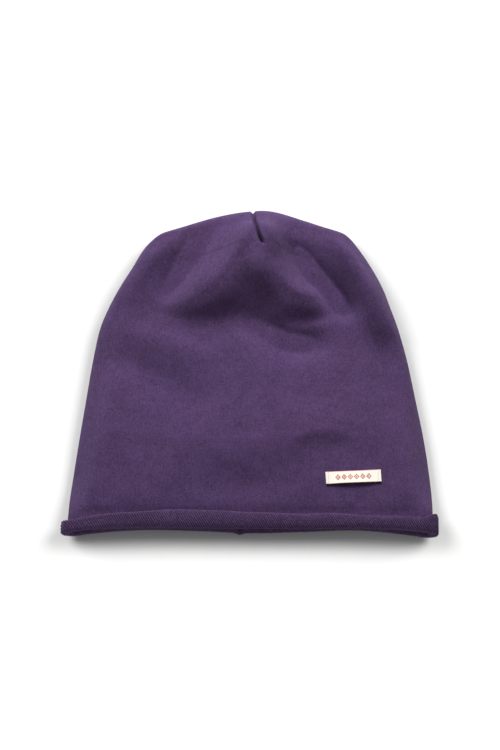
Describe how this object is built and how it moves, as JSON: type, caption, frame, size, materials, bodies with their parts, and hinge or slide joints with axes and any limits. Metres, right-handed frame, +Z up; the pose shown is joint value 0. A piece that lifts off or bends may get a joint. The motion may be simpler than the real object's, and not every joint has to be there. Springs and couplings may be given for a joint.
{
  "type": "beanie",
  "caption": "Slouchy sweatshirt-cloth beanie lying flat, with a dart at the crown, a rolled hem round its open mouth and a small woven label.",
  "frame": {"origin": "under the middle of the beanie's box, on the surface that it lies on", "axes": "+X towards the wearer's left side fold, +Y from the mouth to the top of the crown, +Z up from the surface, out of the front"},
  "size_m": [0.2682, 0.2586, 0.0297],
  "materials": {
    "jersey_face": "matt purple sweatshirt jersey, smooth face with fine upright ribs",
    "jersey_loops": "matt purple looped back of the same jersey",
    "woven_tape": "cream woven tape with thin red edges and a small woven red ornament"
  },
  "bodies": {
    "root": {"crown": "jersey_face", "rolled_hem": "jersey_loops", "label": "woven_tape"}
  },
  "joints": []
}
